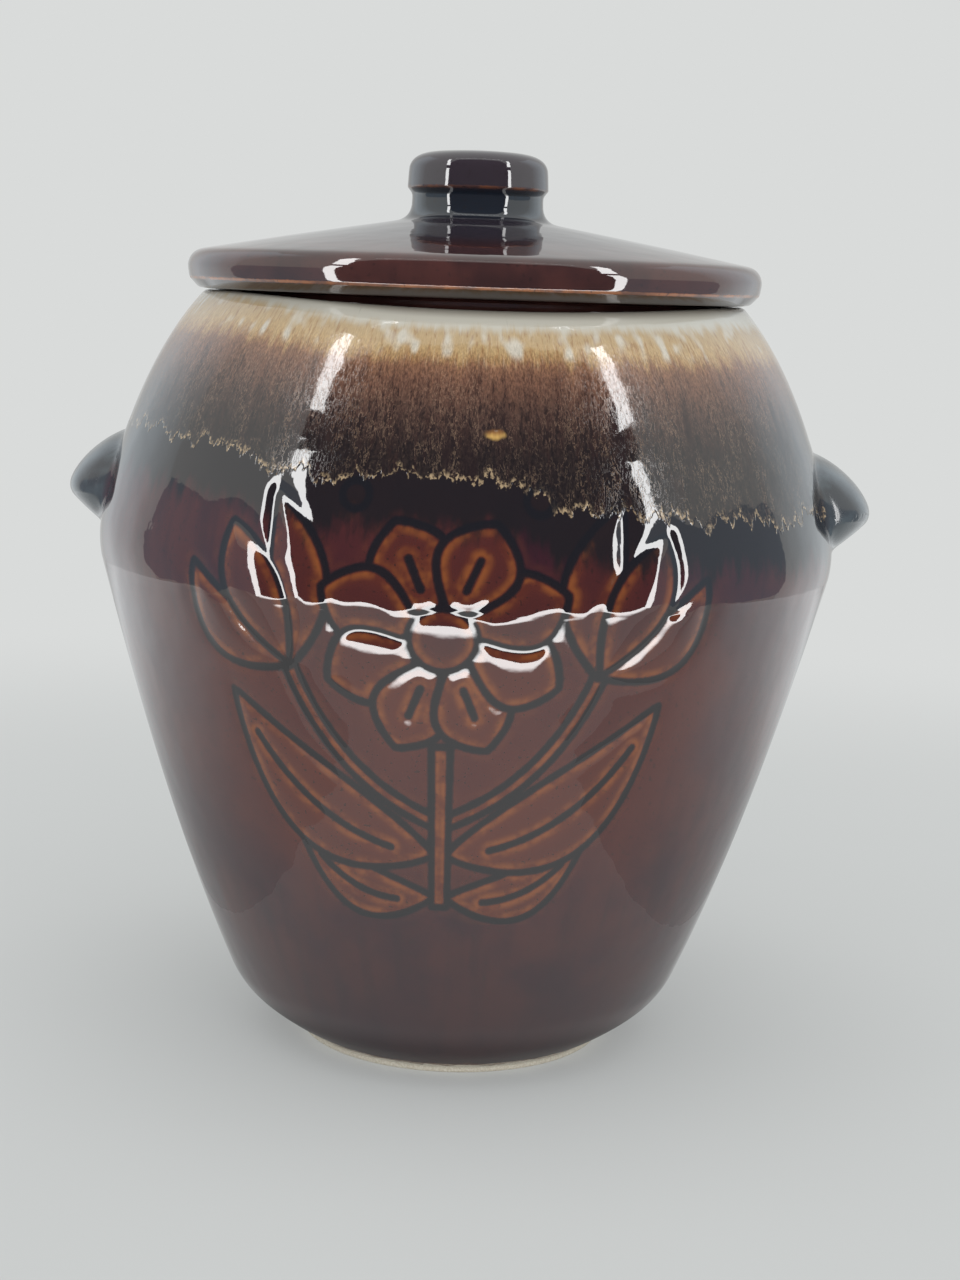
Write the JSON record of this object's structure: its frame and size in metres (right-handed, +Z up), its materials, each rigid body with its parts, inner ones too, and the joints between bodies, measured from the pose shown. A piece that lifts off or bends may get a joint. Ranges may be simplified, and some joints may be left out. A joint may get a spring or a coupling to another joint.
{
  "type": "cookie jar",
  "caption": "Round glazed stoneware jar, tapered to a narrow foot, with a soft belly and ear lugs, closed by a domed lid whose knob lifts it straight off.",
  "frame": {"origin": "middle of the foot, on the surface that the jar stands on", "axes": "+Z up along the jar's axis; the two lugs lie on the X axis; the decorated front faces -Y"},
  "size_m": [0.2162, 0.1966, 0.2401],
  "materials": {
    "jar_glaze": "glossy dark brown glaze with a cream and tan run below the rim, bare clay foot ring",
    "lid_glaze": "glossy dark red-brown glaze, breaking to tan along the edges"
  },
  "bodies": {
    "jar": {"jar": "jar_glaze"},
    "lid": {"lid": "lid_glaze"}
  },
  "joints": [
    {"name": "lid_lift", "type": "slide", "parent": "jar", "child": "lid", "axis": [0, 0, 1], "range_m": [0, 0.15]}
  ]
}
